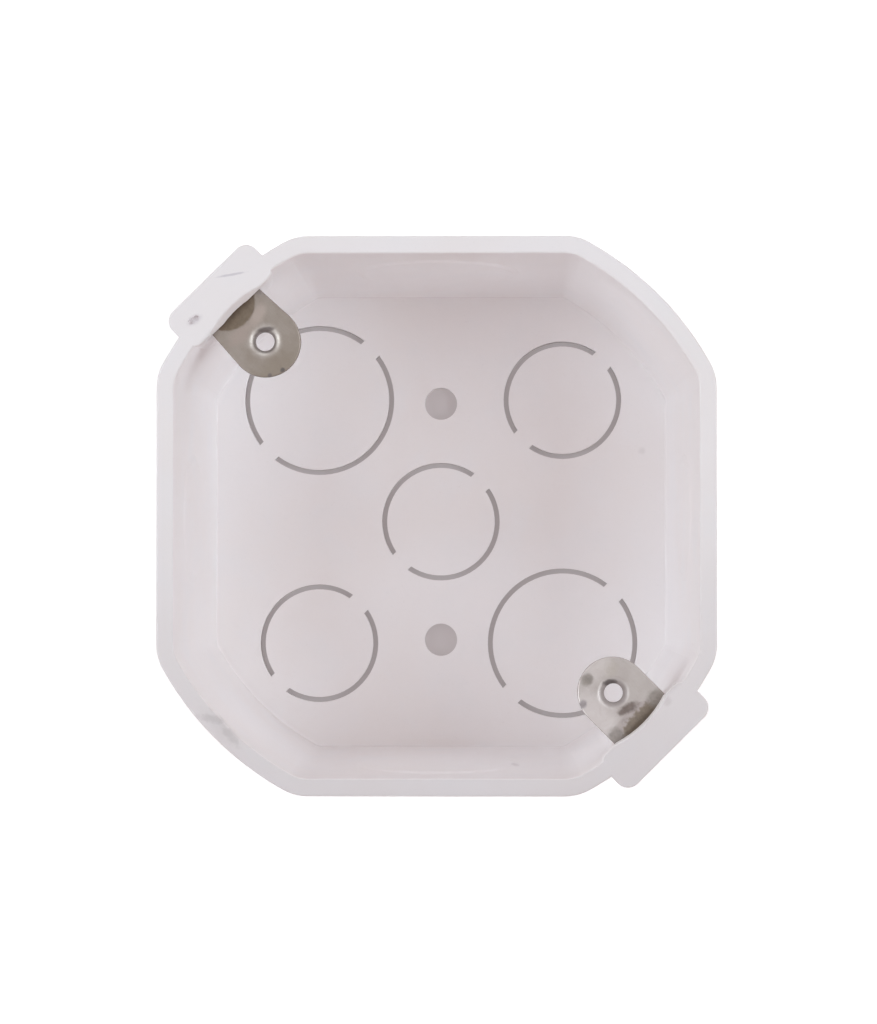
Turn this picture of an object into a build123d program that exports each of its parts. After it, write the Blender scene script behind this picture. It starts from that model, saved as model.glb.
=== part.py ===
from build123d import *
from math import cos, radians, sin, sqrt, tan
import os

# Octagonal electrical box: one moulded plastic body and two steel ears for the cover screws.
# Millimetres. The origin is the centre of the underside and +Z is up, out of the open side.

# Plan of the rim: a square whose corners are cut off by a circle that stands out past its sides
across_flats = 100.4
circle_stand_out = 6.0
outside_vertex_rounding = 9.0
inside_vertex_rounding = 6.5

# Shell
depth = 54.0
wall = 3.2
floor_thickness = 2.5
draft_angle = 4.2
rim_rounding = 0.4
inside_foot_rounding = 0.3
outside_foot_rounding = 1.5

# Blanks in the floor, each cut round by a slot and held by two bridges. The large ones have a third
# bridge on the side of the corner
small_blank = 22.6
large_blank = 28.7
blank_spacing = 46.7
slot_width = 0.95
bridge_width = 4.0
bridge_direction = 45.0

# Holes in the floor for the screws that hold the box
base_hole_spacing = 45.4
base_hole = 6.2

# Blanks in the side walls: a low pad with a broad sloping edge inside, and a groove outside that
# leaves a thin web
small_side_blank = 22.2
large_side_blank = 28.6
side_blank_below_rim = 22.7
pad_margin = 0.7
pad_height = 0.25
pad_slope_width = 1.3
groove_width = 1.0
web = 1.2

# Ears: bent steel strips with a round end and a threaded hole drawn down into a collar
cover_screw_spacing = 88.9
ear_width = 12.7
ear_end_offset = 0.2
ear_thickness = 1.5
ear_below_rim = 2.0
ear_leg_length = 12.0
ear_bend_inside = 1.0
ear_edge_rounding = 0.2
ear_clearance = 0.1
screw_hole = 3.4
collar_diameter = 5.6
collar_height = 1.2
funnel_rounding = 1.35
dimple_width = 11.0
dimple_depth = 0.9

# Corner blocks of the body, moulded round the ears. Over each ear a lip with a bowed edge stands in
# from the corner's wall, further at its sides than at its middle, and its face leans in downwards
lip = 0.4
lip_bow_radius = 20.0
lip_side = 1.6
lip_to_leg = 1.8
block_outer_skin = 3.4
block_straight_height = 14.0
block_rounding = 2.5

# Slanting dent in the top of the left block, its place measured along and across the diagonal
dent_place = (55.5, 6.4)
dent_length = 2.1
dent_width = 0.95
dent_turn = 77.0
dent_depth = 0.6

# Directions from the centre, in degrees about Z from +X. The ears were moulded in a little out of
# place: the left hole lies inwards of its true radius and the right one outwards, by as much
corners = {
    "left_screw_ear": {
        "direction": 134.5,
        "outwards": -0.4,
        "root_width": 11.8,
        "block_width": 21.0,
        "lip_lean": 1.0,
    },
    "right_screw_ear": {
        "direction": 315.0,
        "outwards": 0.4,
        "root_width": 12.7,
        "block_width": 21.8,
        "lip_lean": 0.3,
    },
}
dented_direction = corners["left_screw_ear"]["direction"]
side_blanks = {0: small_side_blank, 90: large_side_blank, 180: small_side_blank, 270: large_side_blank}

# Places worked out from the sizes above
rim_circle_radius = across_flats / 2 + circle_stand_out
corner_inside = rim_circle_radius - wall
lip_face = corner_inside - lip
block_inner_face = corner_inside - lip_side
leg_inner_face = lip_face + lip_to_leg
leg_outer_face = leg_inner_face + ear_thickness
block_outer_face = leg_outer_face + block_outer_skin
block_length = block_outer_face - block_inner_face
ear_top = depth - ear_below_rim
ear_underside = ear_top - ear_thickness
side_slope = radians(draft_angle)
square_wall = wall * cos(side_slope)
side_blank_height = depth - side_blank_below_rim
blank_offset = blank_spacing / 2
corner_bridge_radius = blank_offset * sqrt(2) + large_blank / 2 - slot_width / 2
corner_bridge_direction = bridge_direction + 90
floor_blanks = {
    (-blank_offset, blank_offset): large_blank,
    (blank_offset, blank_offset): small_blank,
    (0, 0): small_blank,
    (-blank_offset, -blank_offset): small_blank,
    (blank_offset, -blank_offset): large_blank,
}


def rim_outline(inset, vertex_rounding, height):
    # The rim's plan at a height, moved in by an inset
    with BuildSketch(Plane.XY.offset(height)) as plan:
        Rectangle(across_flats - 2 * inset, across_flats - 2 * inset)
        Circle(rim_circle_radius - inset, mode=Mode.INTERSECT)
        fillet(plan.vertices(), vertex_rounding)
    return plan.sketch


def corner_plane(direction, height):
    # A level plane whose X runs out along a corner's diagonal
    return Plane.XY.rotated((0, 0, direction)).offset(height)


def corner_section(direction):
    # An upright plane along a corner's diagonal, with X outwards and Y up
    level = corner_plane(direction, 0)
    return Plane(origin=(0, 0, 0), x_dir=level.x_dir, z_dir=-level.y_dir)


def wall_plane(direction):
    # A plane on the inner face of a side wall, at the middle of its blank, looking inwards
    outwards = Vector(1, 0, 0).rotate(Axis.Z, direction)
    level = Vector(0, 1, 0).rotate(Axis.Z, direction)
    distance = across_flats / 2 - wall - side_blank_below_rim * tan(side_slope)
    centre = outwards * distance + Vector(0, 0, side_blank_height)
    inwards = Vector(0, 0, sin(side_slope)) - outwards * cos(side_slope)
    return Plane(origin=centre, x_dir=level, z_dir=inwards)


def hole_radius(corner):
    # How far an ear's screw hole lies from the centre
    return cover_screw_spacing / 2 + corner["outwards"]


def ear_profile(corner, gap):
    # The bent strip of an ear from the side, grown all round by a gap
    tip = hole_radius(corner) - ear_end_offset - ear_width / 2
    top = ear_top + gap
    underside = ear_underside - gap
    foot = ear_top - ear_leg_length - gap
    inner = leg_inner_face - gap
    outer = leg_outer_face + gap
    with BuildSketch(corner_section(corner["direction"])) as profile:
        with BuildLine():
            Polyline(
                (tip, top),
                (outer, top),
                (outer, foot),
                (inner, foot),
                (inner, underside),
                (tip, underside),
                close=True,
            )
        make_face()
        outer_bend = profile.vertices().sort_by_distance((outer, top))[0]
        fillet(outer_bend, ear_bend_inside + ear_thickness + gap)
        inner_bend = profile.vertices().sort_by_distance((inner, underside))[0]
        fillet(inner_bend, ear_bend_inside - gap)
    return profile.sketch


def corner_block(corner):
    # A block across the corner, with a sloping underside that runs back into the wall
    with BuildPart() as block:
        with BuildSketch(corner_section(corner["direction"])):
            with BuildLine():
                Polyline(
                    (block_inner_face, depth),
                    (block_outer_face, depth),
                    (block_outer_face, depth - block_straight_height),
                    (block_inner_face, depth - block_straight_height - block_length),
                    close=True,
                )
            make_face()
        extrude(amount=corner["block_width"] / 2, both=True)
        fillet(block.edges().filter_by(Axis.Z), block_rounding)
        lower_bow_radius = lip_bow_radius - corner["lip_lean"]
        bow_centre = Pos(lip_face - lip_bow_radius, 0, -ear_below_rim / 2)
        with Locations(corner_plane(corner["direction"], depth) * bow_centre):
            Cone(lower_bow_radius, lip_bow_radius, ear_below_rim, mode=Mode.SUBTRACT)
        fillet(block.faces().sort_by(Axis.Z)[-1].edges(), rim_rounding)
    return block.part


def half_bowl(corner, height):
    # The inner half of a shallow round bowl, sunk from a height and cut off at the leg's inner face
    bowl_radius = (dimple_width ** 2 / 4 + dimple_depth ** 2) / (2 * dimple_depth)
    level = corner_plane(corner["direction"], height)
    with BuildPart() as bowl:
        with Locations(level * Pos(leg_inner_face, 0, bowl_radius - dimple_depth)):
            Sphere(bowl_radius, rotation=(90, 0, 0))
        with BuildSketch(level):
            with Locations((leg_inner_face - dimple_width / 2, 0)):
                Rectangle(dimple_width, 2 * dimple_width)
        extrude(amount=-dimple_width, mode=Mode.INTERSECT)
    return bowl.part


def side_faces(solid):
    # Every face but the level ones
    return solid.faces().filter_by(Axis.Z, reverse=True)


# The space inside the box
with BuildPart() as hollow:
    hollow_height = depth - floor_thickness
    extrude(rim_outline(wall, inside_vertex_rounding, floor_thickness), amount=hollow_height)
    draft(side_faces(hollow), Plane.XY.offset(depth), -draft_angle)
    fillet(hollow.faces().sort_by(Axis.Z)[0].edges(), inside_foot_rounding)

# The body, with its blanks still joined to it
with BuildPart() as body:
    extrude(rim_outline(0, outside_vertex_rounding, 0), amount=depth)
    draft(side_faces(body), Plane.XY.offset(depth), -draft_angle)
    fillet(body.faces().sort_by(Axis.Z)[0].edges(), outside_foot_rounding)
    add(hollow.part, mode=Mode.SUBTRACT)
    fillet(body.faces().sort_by(Axis.Z)[-1].edges(), rim_rounding)
    for corner in corners.values():
        add(corner_block(corner))

    # Close spaces for the ears, and room under each for its dimple
    for corner in corners.values():
        ear_space = ear_profile(corner, ear_clearance)
        extrude(ear_space, amount=corner["root_width"] / 2 + ear_clearance, both=True, mode=Mode.SUBTRACT)
        with BuildSketch(corner_plane(corner["direction"], ear_underside)):
            with Locations(((block_inner_face + leg_inner_face) / 2, 0)):
                Rectangle(leg_inner_face - block_inner_face, dimple_width + 2 * ear_clearance)
        extrude(amount=-dimple_depth - ear_clearance, mode=Mode.SUBTRACT)

    # The dent in the left block
    with BuildSketch(corner_plane(dented_direction, depth)):
        with Locations(dent_place):
            SlotOverall(dent_length, dent_width, rotation=dent_turn)
    extrude(amount=-dent_depth, mode=Mode.SUBTRACT)

    # Slots round the floor blanks
    with BuildSketch() as slots:
        for place, size in floor_blanks.items():
            with Locations(place):
                Circle(size / 2)
                Circle(size / 2 - slot_width, mode=Mode.SUBTRACT)
                Rectangle(size, bridge_width, rotation=bridge_direction, mode=Mode.SUBTRACT)
        with PolarLocations(corner_bridge_radius, 2, start_angle=corner_bridge_direction):
            Rectangle(3 * slot_width, bridge_width, mode=Mode.SUBTRACT)
    extrude(amount=floor_thickness, mode=Mode.SUBTRACT)

    # Holes for the screws that hold the box
    with Locations((0, base_hole_spacing / 2), (0, -base_hole_spacing / 2)):
        Hole(base_hole / 2)

    # Blanks in the side walls
    for direction, size in side_blanks.items():
        inner_face = wall_plane(direction)
        pad_radius = size / 2 + pad_margin
        with Locations(inner_face * Pos(0, 0, pad_height / 2)):
            Cone(pad_radius, pad_radius - pad_slope_width, pad_height)
        with BuildSketch(inner_face.offset(-square_wall)):
            Circle(size / 2)
            Circle(size / 2 - groove_width, mode=Mode.SUBTRACT)
        extrude(amount=square_wall - web, mode=Mode.SUBTRACT)

# The ears
ears = {}
for name, corner in corners.items():
    level = corner_plane(corner["direction"], ear_top)
    ear_hole_radius = hole_radius(corner)
    end_centre = ear_hole_radius - ear_end_offset
    root = corner["root_width"] / 2
    with BuildPart() as ear:
        # A bent strip, cut to the ear's plan
        extrude(ear_profile(corner, 0), amount=ear_width, both=True)
        with BuildSketch(level):
            with BuildLine():
                Polyline(
                    (end_centre, ear_width / 2),
                    (block_inner_face, root),
                    (leg_outer_face, root),
                    (leg_outer_face, -root),
                    (block_inner_face, -root),
                    (end_centre, -ear_width / 2),
                    close=True,
                )
            make_face()
            with Locations((end_centre, 0)):
                Circle(ear_width / 2)
        extrude(amount=-ear_leg_length, mode=Mode.INTERSECT)
        across = Axis(level.origin, level.y_dir)
        outline = ear.faces().sort_by(Axis.Z)[-1].edges().filter_by(across, reverse=True)
        fillet(outline, ear_edge_rounding)

        # A half-round dimple that stiffens the bend, pressed through to the underside
        add(half_bowl(corner, ear_underside))
        add(half_bowl(corner, ear_top), mode=Mode.SUBTRACT)

        # The screw hole, its collar below and its rounded mouth above
        with BuildSketch(level.offset(-ear_thickness)):
            with Locations((ear_hole_radius, 0)):
                Circle(collar_diameter / 2)
        extrude(amount=-collar_height)
        with Locations(level * Pos(ear_hole_radius, 0, 0)):
            Hole(screw_hole / 2, depth=ear_thickness + collar_height)
        hole_edges = ear.edges(Select.LAST).filter_by(GeomType.CIRCLE)
        fillet(hole_edges.sort_by(Axis.Z)[-1], funnel_rounding)
    ears[name] = ear

os.makedirs("parts", exist_ok=True)
body.part.label = "box_body"
export_step(body.part, "parts/box_body.step")
for name, ear in ears.items():
    ear.part.label = name
    export_step(ear.part, f"parts/{name}.step")
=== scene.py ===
import bpy
import math
from mathutils import Matrix, Vector


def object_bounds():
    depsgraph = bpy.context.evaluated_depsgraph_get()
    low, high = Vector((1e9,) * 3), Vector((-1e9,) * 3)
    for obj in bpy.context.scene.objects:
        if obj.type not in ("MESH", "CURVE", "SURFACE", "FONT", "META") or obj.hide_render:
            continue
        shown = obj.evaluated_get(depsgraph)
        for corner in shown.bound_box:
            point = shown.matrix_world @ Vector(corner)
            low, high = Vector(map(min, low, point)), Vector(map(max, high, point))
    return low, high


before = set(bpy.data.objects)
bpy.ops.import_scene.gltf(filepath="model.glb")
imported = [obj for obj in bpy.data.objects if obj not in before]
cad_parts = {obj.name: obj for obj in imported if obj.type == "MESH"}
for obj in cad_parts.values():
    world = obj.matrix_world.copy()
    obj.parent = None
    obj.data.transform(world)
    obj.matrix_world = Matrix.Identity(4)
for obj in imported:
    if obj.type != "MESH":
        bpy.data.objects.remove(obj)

cadBounds = [list(corner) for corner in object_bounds()]
print("frame loaded:", ", ".join(sorted(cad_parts)))

mm = 0.001

# levels of the box in millimetres, which the marks below lie on
rimTop = round(cadBounds[1][2] / mm, 1)
earTop = rimTop - 2.0
floorTop = 2.5


# small helpers for material nodes

def addNode(tree, kind, inputs=None, **settings):
    node = tree.nodes.new(kind)
    for name, value in settings.items():
        setattr(node, name, value)
    for name, value in (inputs or {}).items():
        if isinstance(value, bpy.types.NodeSocket):
            tree.links.new(value, node.inputs[name])
        else:
            node.inputs[name].default_value = value
    return node


def calc(tree, operation, first, second=0.0, third=0.0):
    sockets = {0: first, 1: second, 2: third}
    return addNode(tree, "ShaderNodeMath", sockets, operation=operation).outputs[0]


def vectorCalc(tree, operation, first, second):
    return addNode(tree, "ShaderNodeVectorMath", {0: first, 1: second}, operation=operation).outputs[0]


def lengthOf(tree, vector):
    return addNode(tree, "ShaderNodeVectorMath", {0: vector}, operation="LENGTH").outputs["Value"]


def axisOf(tree, vector, axis):
    return addNode(tree, "ShaderNodeSeparateXYZ", {0: vector}).outputs[axis]


def remap(tree, value, low, high, newLow=0.0, newHigh=1.0, smooth=True):
    style = "SMOOTHSTEP" if smooth else "LINEAR"
    ranges = {"Value": value, "From Min": low, "From Max": high, "To Min": newLow, "To Max": newHigh}
    return addNode(tree, "ShaderNodeMapRange", ranges, interpolation_type=style).outputs["Result"]


def mixColour(tree, amount, under, over, style="MIX"):
    sockets = {0: amount, 6: under, 7: over}
    return addNode(tree, "ShaderNodeMix", sockets, data_type="RGBA", blend_type=style).outputs[2]


def noise(tree, point, scale, detail=2.0, roughness=0.5):
    sockets = {"Vector": point, "Scale": scale, "Detail": detail, "Roughness": roughness}
    return addNode(tree, "ShaderNodeTexNoise", sockets).outputs["Fac"]


def bump(tree, height, depth, under=None):
    sockets = {"Height": height, "Strength": 1.0, "Distance": depth}
    if under is not None:
        sockets["Normal"] = under
    return addNode(tree, "ShaderNodeBump", sockets).outputs[0]


def emptyMaterial(name):
    material = bpy.data.materials.new(name)
    material.use_nodes = True
    material.node_tree.nodes.clear()
    return material, material.node_tree


def newMaterial(name):
    material, tree = emptyMaterial(name)
    shader = addNode(tree, "ShaderNodeBsdfPrincipled")
    addNode(tree, "ShaderNodeOutputMaterial", {"Surface": shader.outputs[0]})
    return material, tree, shader


def millimetres(tree, turn=0.0):
    # object coordinates in millimetres, turned so that X runs along the given direction
    coordinates = addNode(tree, "ShaderNodeTexCoord").outputs["Object"]
    sockets = {"Vector": coordinates, "Rotation": (0.0, 0.0, -math.radians(turn)), "Scale": (1 / mm,) * 3}
    return addNode(tree, "ShaderNodeMapping", sockets).outputs["Vector"]


def facingUp(tree):
    # 1 where the surface faces straight up, 0 on an upright wall
    return axisOf(tree, addNode(tree, "ShaderNodeTexCoord").outputs["Normal"], "Z")


raggedScale = 1.2  # size of the ragged edge on every mark


def markMask(tree, point, mark):
    # the mark's amount inside an ellipsoid about its place, fading to 0 at a ragged edge
    moved = vectorCalc(tree, "SUBTRACT", point, mark["at"])
    sockets = {"Vector": moved, "Angle": -math.radians(mark.get("turn", 0))}
    turned = addNode(tree, "ShaderNodeVectorRotate", sockets, rotation_type="Z_AXIS").outputs[0]
    shrunk = vectorCalc(tree, "MULTIPLY", turned, tuple(1 / radius for radius in mark["radii"]))
    ragged = remap(tree, noise(tree, point, raggedScale, 3.0), 0.25, 0.75, -0.5, 0.5, smooth=False)
    reach = calc(tree, "MULTIPLY_ADD", ragged, mark["ragged"], lengthOf(tree, shrunk))
    return remap(tree, reach, 1.0 - mark["soft"], 1.0 + mark["soft"], mark["amount"], 0.0)


def addMarks(tree, point, colour, marks):
    for mark in marks:
        colour = mixColour(tree, markMask(tree, point, mark), colour, (*mark["colour"], 1.0))
    return colour


def setMaterial(nodeName, material):
    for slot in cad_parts[nodeName].material_slots:
        slot.material = material


# the moulded body

boxLook = {
    "pale": (0.920, 0.886, 0.890, 1.0),
    "warm": (0.910, 0.868, 0.864, 1.0),
    "cool": (0.896, 0.874, 0.882, 1.0),
    "speck": (0.62, 0.56, 0.55, 1.0),
    "cloudScale": 0.028,
    "patchScale": 0.11,
    "patchAmount": 0.6,
    "speckScale": 2.3,
    "speckAmount": 0.10,
    "rimShadeTone": (0.880, 0.887, 0.890, 1.0),  # painted shade: the top face a little darker
    "frontRimShadeTone": (0.730, 0.722, 0.728, 1.0),  # and darker still towards the front
    "rimShadeAlong": (12.0, -49.0),  # from here to here in Y
    "rimShadeWander": 4.0,
    "footShadeTone": (0.945, 0.940, 0.940, 1.0),  # painted shade on the rounding at the walls' foot, toning down its bright line
    "roughness": 0.44,
    "sheenScale": 0.18,
    "grainScale": 3.2,
    "grainDepth": 0.012 * mm,
    "flowStretch": (0.05, 0.05, 0.02),
    "flowDepth": 0.05 * mm,
    "ior": 1.48,
    "marks": [
        # smudge on the rim at the front left corner
        {"at": (-38.6, -37.7, rimTop), "radii": (3.4, 1.5, 3.0), "turn": -45, "colour": (0.42, 0.38, 0.38),
         "amount": 0.16, "ragged": 0.7, "soft": 0.7},
        {"at": (-40.1, -36.3, rimTop), "radii": (2.3, 0.6, 3.0), "turn": -8, "colour": (0.36, 0.33, 0.33),
         "amount": 0.30, "ragged": 0.7, "soft": 0.6},
        {"at": (-36.9, -39.2, rimTop), "radii": (2.2, 0.7, 3.0), "turn": -52, "colour": (0.36, 0.33, 0.33),
         "amount": 0.28, "ragged": 0.7, "soft": 0.6},
        # painted shade in the corner beside the left ear's root
        {"at": (-40.9, 31.5, rimTop - 1.0), "radii": (2.2, 0.8, 3.0), "turn": 51, "colour": (0.36, 0.32, 0.32),
         "amount": 0.26, "ragged": 0.5, "soft": 0.6},
        # and painted shade beside the right ear's
        {"at": (42.6, -29.6, rimTop - 1.5), "radii": (3.0, 0.9, 3.0), "turn": 52, "colour": (0.50, 0.46, 0.46),
         "amount": 0.40, "ragged": 0.5, "soft": 0.6},
        # thin dark line across the left corner block
        {"at": (-36.7, 43.2, rimTop), "radii": (2.4, 0.20, 1.0), "turn": 10, "colour": (0.44, 0.41, 0.46),
         "amount": 0.50, "ragged": 0.4, "soft": 0.5},
        # shade about the dent
        {"at": (-43.4, 35.1, rimTop), "radii": (1.25, 0.70, 1.5), "turn": 31.5, "colour": (0.50, 0.46, 0.49),
         "amount": 0.45, "ragged": 0.3, "soft": 0.6},
        # small spots on the front wall and on the floor at the right
        {"at": (14.1, -45.4, 33.0), "radii": (0.7, 3.0, 1.6), "colour": (0.50, 0.44, 0.46),
         "amount": 0.30, "ragged": 0.5, "soft": 0.6},
        {"at": (38.6, 13.6, floorTop), "radii": (0.6, 0.6, 1.0), "colour": (0.55, 0.50, 0.50),
         "amount": 0.20, "ragged": 0.5, "soft": 0.6},
        # faint spot on the right corner block
        {"at": (41.3, -33.2, rimTop), "radii": (0.7, 0.7, 1.0), "colour": (0.50, 0.45, 0.45),
         "amount": 0.35, "ragged": 0.5, "soft": 0.6},
    ],
}


def rimMask(tree, height):
    # 1 on the level top face of the rim and the corner blocks
    nearTop = remap(tree, height, rimTop - 0.5, rimTop - 0.1)
    return calc(tree, "MULTIPLY", nearTop, remap(tree, facingUp(tree), 0.5, 0.95))


def footMask(tree, height):
    # 1 on the narrow rounding between the floor and the walls
    start = remap(tree, height, floorTop, floorTop + 0.04)
    end = remap(tree, height, floorTop + 0.24, floorTop + 0.34, 1.0, 0.0)
    band = calc(tree, "MULTIPLY", start, end)
    return calc(tree, "MULTIPLY", band, remap(tree, facingUp(tree), 0.10, 0.25))


def paintedRimShade(tree, point, colour, look):
    # painted shade: the whole top face darker, and more so along the front
    spread = look["rimShadeWander"]
    wander = remap(tree, noise(tree, point, 0.05), 0.3, 0.7, -spread, spread, smooth=False)
    along = calc(tree, "ADD", axisOf(tree, point, "Y"), wander)
    front = remap(tree, along, *look["rimShadeAlong"], smooth=False)
    tone = mixColour(tree, front, look["rimShadeTone"], look["frontRimShadeTone"])
    return mixColour(tree, 1.0, colour, tone, "MULTIPLY")


def plasticColour(tree, point, look):
    clouds = noise(tree, point, look["cloudScale"], 3.0)
    colour = mixColour(tree, remap(tree, clouds, 0.38, 0.62), look["warm"], look["pale"])
    patches = noise(tree, point, look["patchScale"], 3.0, 0.6)
    colour = mixColour(tree, remap(tree, patches, 0.45, 0.75, 0.0, look["patchAmount"]), colour, look["cool"])
    specks = noise(tree, point, look["speckScale"])
    colour = mixColour(tree, remap(tree, specks, 0.62, 0.80, 0.0, look["speckAmount"]), colour, look["speck"])
    height = axisOf(tree, point, "Z")
    colour = mixColour(tree, rimMask(tree, height), colour, paintedRimShade(tree, point, colour, look))
    # painted shade on the rounding at the walls' foot
    footShaded = mixColour(tree, 1.0, colour, look["footShadeTone"], "MULTIPLY")
    colour = mixColour(tree, footMask(tree, height), colour, footShaded)
    return addMarks(tree, point, colour, look["marks"])


def plasticMaterial(look):
    material, tree, shader = newMaterial("mouldedPlastic")
    point = millimetres(tree)
    tree.links.new(plasticColour(tree, point, look), shader.inputs["Base Color"])
    # satin, a little duller in patches where it has been handled
    sheen = noise(tree, point, look["sheenScale"], 4.0, 0.6)
    base = look["roughness"]
    tree.links.new(remap(tree, sheen, 0.3, 0.7, base - 0.06, base + 0.09, smooth=False), shader.inputs["Roughness"])
    # fine moulded grain over slow flow waves
    flow = noise(tree, vectorCalc(tree, "MULTIPLY", point, look["flowStretch"]), 1.0)
    waves = bump(tree, flow, look["flowDepth"])
    grain = noise(tree, point, look["grainScale"], 3.0, 0.6)
    tree.links.new(bump(tree, grain, look["grainDepth"], waves), shader.inputs["Normal"])
    shader.inputs["IOR"].default_value = look["ior"]
    return material


setMaterial("box_body", plasticMaterial(boxLook))
print("body finished")


# the steel ears: along each ear u runs outwards on the corner's diagonal and v across it, in millimetres

steelFinish = {
    "cloudScale": 0.35,
    "rolledStretch": (0.25, 5.0, 1.0),  # rolling lines run along u
    "rolledAmount": 0.35,
    "lineDepth": 0.010 * mm,
    "pitScale": 1.8,
    "pitDepth": 0.030 * mm,
    "blotchScale": 1.1,
    "blotchRange": (0.86, 1.14),  # how far the tone of each stain and painted shade varies
    "matteRoughness": 0.25,  # what the hole's mouth, the stains and the painted shade add to the roughness
    "mouthAmount": 0.85,
}

# painted reflection: the left ear's steel is given darker tones than the right ear's, standing in for the darker
# surroundings it reflects
leftEarLook = {
    "name": "platedSteelPaintedDarker",
    "turn": 134.5,
    "metal": (0.252, 0.212, 0.188, 1.0),
    "patina": (0.224, 0.184, 0.158, 1.0),
    "roughness": 0.42,
    "holeAt": (44.05, 0.0, earTop),
    "mouth": (0.300, 0.262, 0.250, 1.0),
    "mouthReach": (1.75, 2.00),
    "tints": [
        # lighter round the screw hole
        {"at": (44.05, 0.0, earTop), "radii": (2.75, 2.75, 3.0), "colour": (0.500, 0.450, 0.430),
         "amount": 0.55, "ragged": 0.15, "soft": 0.30},
        # paler beside the dimple
        {"at": (48.2, -2.2, earTop), "radii": (1.1, 2.2, 2.0), "turn": 18, "colour": (0.322, 0.262, 0.236),
         "amount": 0.80, "ragged": 0.4, "soft": 0.6},
        {"at": (47.9, 2.3, earTop), "radii": (1.3, 2.2, 2.0), "colour": (0.286, 0.228, 0.205),
         "amount": 0.70, "ragged": 0.4, "soft": 0.6},
        # browner towards the free end
        {"at": (39.0, 1.8, earTop), "radii": (2.2, 5.4, 2.0), "colour": (0.208, 0.169, 0.139),
         "amount": 0.75, "ragged": 0.4, "soft": 0.6},
    ],
    "stainsAndPaintedLight": [
        # painted shade and dark reflection, dark brown, in the dimple at the bend under the lip
        {"at": (54.4, 0.0, earTop), "radii": (5.65, 5.45, 6.0), "colour": (0.168, 0.126, 0.088),
         "amount": 1.0, "ragged": 0.06, "soft": 0.04},
        {"at": (51.2, -5.5, earTop), "radii": (1.0, 0.7, 2.0), "colour": (0.270, 0.235, 0.215),
         "amount": 0.80, "ragged": 0.4, "soft": 0.5},
        # painted dark reflection on one side of the hole's mouth
        {"at": (45.4, -1.55, earTop), "radii": (1.5, 0.45, 3.0), "turn": 55, "colour": (0.150, 0.125, 0.115),
         "amount": 0.90, "ragged": 0.3, "soft": 0.4},
        # specks along the free end
        {"at": (38.10, 1.35, earTop), "radii": (0.38, 0.44, 2.0), "colour": (0.110, 0.092, 0.084),
         "amount": 1.0, "ragged": 0.4, "soft": 0.3},
        {"at": (39.0, 3.7, earTop), "radii": (0.34, 0.40, 2.0), "colour": (0.120, 0.100, 0.092),
         "amount": 0.95, "ragged": 0.4, "soft": 0.3},
    ],
}

# painted reflection: the right ear's steel is given lighter tones, standing in for the brighter surroundings it
# reflects
rightEarLook = {
    "name": "platedSteelPaintedLighter",
    "turn": 315,
    "metal": (0.378, 0.332, 0.316, 1.0),
    "patina": (0.350, 0.305, 0.290, 1.0),
    "roughness": 0.38,
    "holeAt": (44.85, 0.0, earTop),
    "mouth": (0.370, 0.325, 0.312, 1.0),
    "mouthReach": (2.20, 2.90),
    "tints": [
        # painted reflection: lighter along one side; and a small patch a little darker
        {"at": (45.5, -5.2, earTop), "radii": (5.5, 3.0, 2.0), "colour": (0.470, 0.415, 0.406),
         "amount": 0.85, "ragged": 0.3, "soft": 0.6},
        {"at": (41.3, 2.6, earTop), "radii": (1.4, 1.4, 2.0), "colour": (0.365, 0.320, 0.290),
         "amount": 0.70, "ragged": 0.4, "soft": 0.6},
        # lighter at the free end
        {"at": (39.2, 0.9, earTop), "radii": (2.0, 3.0, 2.0), "colour": (0.460, 0.405, 0.392),
         "amount": 0.75, "ragged": 0.4, "soft": 0.6},
    ],
    "stainsAndPaintedLight": [
        # painted reflection: a matte patch round the dimple in the plate's lit tone, hiding the glint on its edge
        {"at": (50.4, -0.6, earTop), "radii": (1.5, 5.2, 5.0), "colour": (0.405, 0.350, 0.332),
         "amount": 0.92, "ragged": 0.3, "soft": 0.35},
        # over the bend an olive strip, dried grime darkened with painted shade, and beside it under the lip a dark
        # band of painted shade and dark reflection
        {"at": (52.2, 0.4, earTop), "radii": (2.05, 6.6, 5.0), "colour": (0.225, 0.182, 0.142),
         "amount": 1.0, "ragged": 0.45, "soft": 0.18},
        {"at": (52.5, -0.7, earTop), "radii": (1.05, 4.4, 5.0), "colour": (0.190, 0.150, 0.112),
         "amount": 1.0, "ragged": 0.7, "soft": 0.20},
        {"at": (50.7, -5.1, earTop), "radii": (1.6, 1.5, 2.0), "colour": (0.270, 0.238, 0.218),
         "amount": 0.95, "ragged": 0.5, "soft": 0.35},
        {"at": (50.8, 4.8, earTop), "radii": (1.5, 1.6, 2.0), "colour": (0.280, 0.248, 0.222),
         "amount": 0.95, "ragged": 0.4, "soft": 0.4},
        # dark red spot
        {"at": (48.6, -0.2, earTop), "radii": (0.75, 1.9, 2.0), "turn": -16, "colour": (0.140, 0.104, 0.090),
         "amount": 0.90, "ragged": 0.6, "soft": 0.50},
        # painted dark reflection on the hole's mouth, and two grey spots near the free end
        {"at": (43.1, 0.85, earTop), "radii": (1.25, 0.58, 3.0), "turn": 52, "colour": (0.110, 0.090, 0.086),
         "amount": 0.95, "ragged": 0.4, "soft": 0.35},
        {"at": (39.8, -1.7, earTop), "radii": (1.0, 1.15, 2.0), "colour": (0.262, 0.230, 0.206),
         "amount": 0.95, "ragged": 0.4, "soft": 0.4},
        {"at": (42.4, -5.4, earTop), "radii": (0.65, 0.85, 2.0), "colour": (0.290, 0.255, 0.258),
         "amount": 0.90, "ragged": 0.4, "soft": 0.4},
    ],
}


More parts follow.
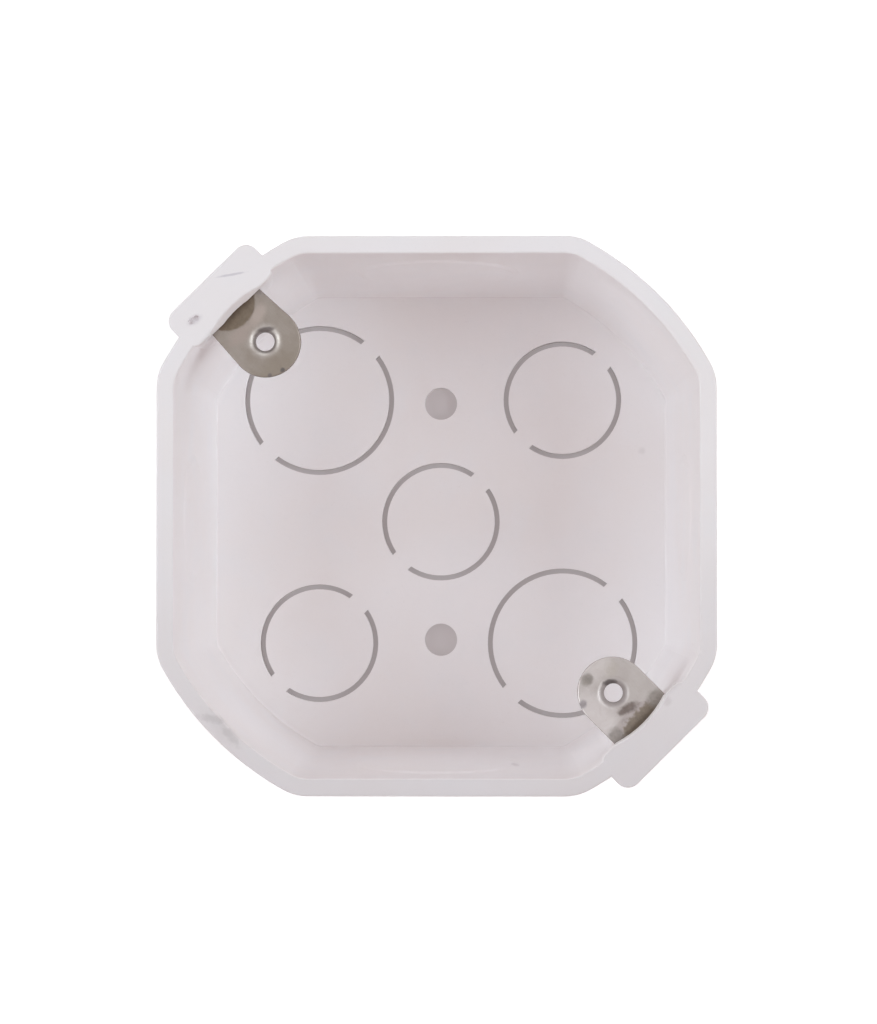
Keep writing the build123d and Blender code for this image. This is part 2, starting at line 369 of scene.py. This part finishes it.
def mouthMask(tree, point, look):
    # strongest on the worn mouth of the screw hole, and down its bore
    moved = vectorCalc(tree, "SUBTRACT", point, look["holeAt"])
    reach = lengthOf(tree, vectorCalc(tree, "MULTIPLY", moved, (1.0, 1.0, 0.0)))
    return remap(tree, reach, *look["mouthReach"], steelFinish["mouthAmount"], 0.0)


def blotched(tree, point, tone):
    # the tone, a little lighter and darker in blotches
    cloudy = noise(tree, point, steelFinish["blotchScale"], 3.0, 0.6)
    level = remap(tree, cloudy, 0.3, 0.7, *steelFinish["blotchRange"], smooth=False)
    grey = addNode(tree, "ShaderNodeCombineXYZ", {0: level, 1: level, 2: level}).outputs[0]
    return vectorCalc(tree, "MULTIPLY", grey, tone)


def steelMaterial(look):
    material, tree, shader = newMaterial(look["name"])
    point = millimetres(tree, look["turn"])
    rolled = noise(tree, vectorCalc(tree, "MULTIPLY", point, steelFinish["rolledStretch"]), 1.0, 4.0, 0.6)
    clouds = noise(tree, point, steelFinish["cloudScale"], 4.0, 0.6)
    colour = mixColour(tree, remap(tree, clouds, 0.35, 0.68), look["metal"], look["patina"])
    streaks = remap(tree, rolled, 0.4, 0.7, 0.0, steelFinish["rolledAmount"])
    colour = mixColour(tree, streaks, colour, look["patina"])
    colour = addMarks(tree, point, colour, look["tints"])
    # the hole's mouth, the dried stains and the painted shade and reflections hide the metal and have no shine
    matte = mouthMask(tree, point, look)
    colour = mixColour(tree, matte, colour, look["mouth"])
    for matteMark in look["stainsAndPaintedLight"]:
        mask = markMask(tree, point, matteMark)
        colour = mixColour(tree, mask, colour, blotched(tree, point, matteMark["colour"]))
        matte = calc(tree, "MAXIMUM", matte, mask)
    tree.links.new(colour, shader.inputs["Base Color"])
    tree.links.new(calc(tree, "SUBTRACT", 1.0, matte), shader.inputs["Metallic"])
    pits = noise(tree, point, steelFinish["pitScale"], 5.0, 0.7)
    base = look["roughness"]
    shine = remap(tree, pits, 0.3, 0.7, base - 0.05, base + 0.12, smooth=False)
    roughness = calc(tree, "MULTIPLY_ADD", matte, steelFinish["matteRoughness"], shine)
    tree.links.new(roughness, shader.inputs["Roughness"])
    lines = bump(tree, rolled, steelFinish["lineDepth"])
    tree.links.new(bump(tree, pits, steelFinish["pitDepth"], lines), shader.inputs["Normal"])
    return material


setMaterial("left_screw_ear", steelMaterial(leftEarLook))
setMaterial("right_screw_ear", steelMaterial(rightEarLook))
print("ears finished")


# floor, light and camera, all in metres

white = (1.0, 1.0, 1.0, 1.0)

studio = {
    "floorSize": 6.0,
    "floorColour": (0.80, 0.80, 0.80, 1.0),
    "floorSeen": (1.42, 1.42, 1.42, 1.0),
    "floorFade": (0.22, 0.45),  # how far from the box the seen floor goes over to plain white
    "shadedReach": (0.0400, 0.0293),  # half widths of the octagon under the box, across and along its sides
    # under the box the paper is darker and glows a little: painted shade and painted light seen in the holes and
    # slots
    "shadedSeen": (0.36, 0.33, 0.33, 1.0),
    "shadedGlow": (0.243, 0.222, 0.226, 1.0),
    "worldStrength": 0.21,
    "worldColour": (1.0, 0.42, 0.27, 1.0),
    "lampSize": 0.5,
    "lampColour": (0.800, 0.925, 0.985),
    "lampAim": (0.0, 0.0, 0.03),
    "lamps": {  # place, and power in watts
        "leftLamp": ((-0.60, 0.0, 0.65), 3.15),
        "leftLowLamp": ((-0.75, 0.0, 0.40), 1.36),
        "rightLamp": ((0.60, 0.0, 0.65), 3.92),
        "rightLowLamp": ((0.75, 0.0, 0.40), 0.36),
        "backLamp": ((0.0, 0.75, 0.45), 1.90),
        "frontLamp": ((0.0, -0.75, 0.45), 0.98),
    },
}


def seenDirectly(tree):
    # 1 for camera, glossy and transmission rays, which see the white background
    paths = addNode(tree, "ShaderNodeLightPath").outputs
    either = calc(tree, "MAXIMUM", paths["Is Camera Ray"], paths["Is Glossy Ray"])
    return calc(tree, "MAXIMUM", either, paths["Is Transmission Ray"])


def paperMaterial(name, seenColour, glow=None, fade=None):
    # pale paper, which those rays see in a colour of its own, with a little glow or a fade to white if asked for
    material, tree = emptyMaterial(name)
    seen = seenDirectly(tree)
    colour = mixColour(tree, seen, studio["floorColour"], seenColour)
    surface = addNode(tree, "ShaderNodeBsdfDiffuse", {"Color": colour}).outputs[0]
    if glow:
        light = addNode(tree, "ShaderNodeEmission", {"Color": glow, "Strength": seen}).outputs[0]
        surface = addNode(tree, "ShaderNodeAddShader", {0: surface, 1: light}).outputs[0]
    if fade:
        away = lengthOf(tree, addNode(tree, "ShaderNodeTexCoord").outputs["Object"])
        amount = calc(tree, "MULTIPLY", remap(tree, away, *fade), seen)
        plain = addNode(tree, "ShaderNodeEmission", {"Color": white, "Strength": 1.0}).outputs[0]
        surface = addNode(tree, "ShaderNodeMixShader", {0: amount, 1: surface, 2: plain}).outputs[0]
    addNode(tree, "ShaderNodeOutputMaterial", {"Surface": surface})
    return material


def makeFloor():
    # a large sheet, and in its middle, under the box, a darker octagon with a faint glow, painted shade and painted
    # light, that shows only through the box's holes and slots
    half = studio["floorSize"] / 2
    across, along = studio["shadedReach"]
    points = [(half, -half, 0), (half, half, 0), (-half, half, 0), (-half, -half, 0)]
    for x, y in ((1, 0), (0, 1), (-1, 0), (0, -1)):
        points.append((across * x + along * y, across * y - along * x, 0))
        points.append((across * x - along * y, across * y + along * x, 0))
    faces = []
    for side in range(4):
        start, end, after = 4 + 2 * side, 5 + 2 * side, 4 + (2 * side + 2) % 8
        faces.append((side, (side + 1) % 4, end, start))
        faces.append(((side + 1) % 4, after, end))
    faces.append(tuple(range(4, 12)))
    mesh = bpy.data.meshes.new("paleFloor")
    mesh.from_pydata(points, [], faces)
    floor = bpy.data.objects.new("paleFloor", mesh)
    bpy.context.scene.collection.objects.link(floor)
    mesh.materials.append(paperMaterial("palePaper", studio["floorSeen"], fade=studio["floorFade"]))
    mesh.materials.append(paperMaterial("shadedPaper", studio["shadedSeen"], glow=studio["shadedGlow"]))
    mesh.polygons[-1].material_index = 1


def makeWorld():
    world = bpy.data.worlds.new("softRoom")
    bpy.context.scene.world = world
    world.use_nodes = True
    tree = world.node_tree
    tree.nodes.clear()
    lit = addNode(tree, "ShaderNodeBackground", {"Color": studio["worldColour"], "Strength": studio["worldStrength"]})
    plain = addNode(tree, "ShaderNodeBackground", {"Color": white, "Strength": 1.0})
    mixed = addNode(tree, "ShaderNodeMixShader", {0: seenDirectly(tree), 1: lit.outputs[0], 2: plain.outputs[0]})
    addNode(tree, "ShaderNodeOutputWorld", {"Surface": mixed.outputs[0]})


def addLamp(name, place, watts):
    lamp = bpy.data.lights.new(name, "AREA")
    lamp.shape = "SQUARE"
    lamp.size = studio["lampSize"]
    lamp.energy = watts
    lamp.color = studio["lampColour"]
    holder = bpy.data.objects.new(name, lamp)
    bpy.context.scene.collection.objects.link(holder)
    holder.location = place
    aim = Vector(studio["lampAim"]) - Vector(place)
    holder.rotation_euler = aim.to_track_quat("-Z", "Y").to_euler()


# looks down into the box, a touch from the front right, with the back wall at the top of the picture
photoView = {
    "place": (0.0119, -0.0152, 0.7340),
    "target": (0.0004, 0.00065, 0.0540),
    "lens": 133.8,
    "sensorHeight": 36.0,
    "nearest": 0.05,
}


def addCamera():
    place, target = Vector(photoView["place"]), Vector(photoView["target"])
    lens = bpy.data.cameras.new("photoCamera")
    lens.sensor_fit = "VERTICAL"
    lens.sensor_height = photoView["sensorHeight"]
    lens.lens = photoView["lens"]
    lens.clip_start = photoView["nearest"]
    camera = bpy.data.objects.new("photoCamera", lens)
    bpy.context.scene.collection.objects.link(camera)
    ahead = (target - place).normalized()
    right = ahead.cross(Vector((0, 1, 0))).normalized()
    up = right.cross(ahead)
    axes = Matrix((right, up, -ahead)).transposed().to_4x4()
    camera.matrix_world = Matrix.Translation(place) @ axes
    bpy.context.scene.camera = camera


makeFloor()
makeWorld()
for lampName, (lampPlace, lampWatts) in studio["lamps"].items():
    addLamp(lampName, lampPlace, lampWatts)
addCamera()
bpy.context.scene.view_settings.view_transform = "Standard"
print("studio ready")
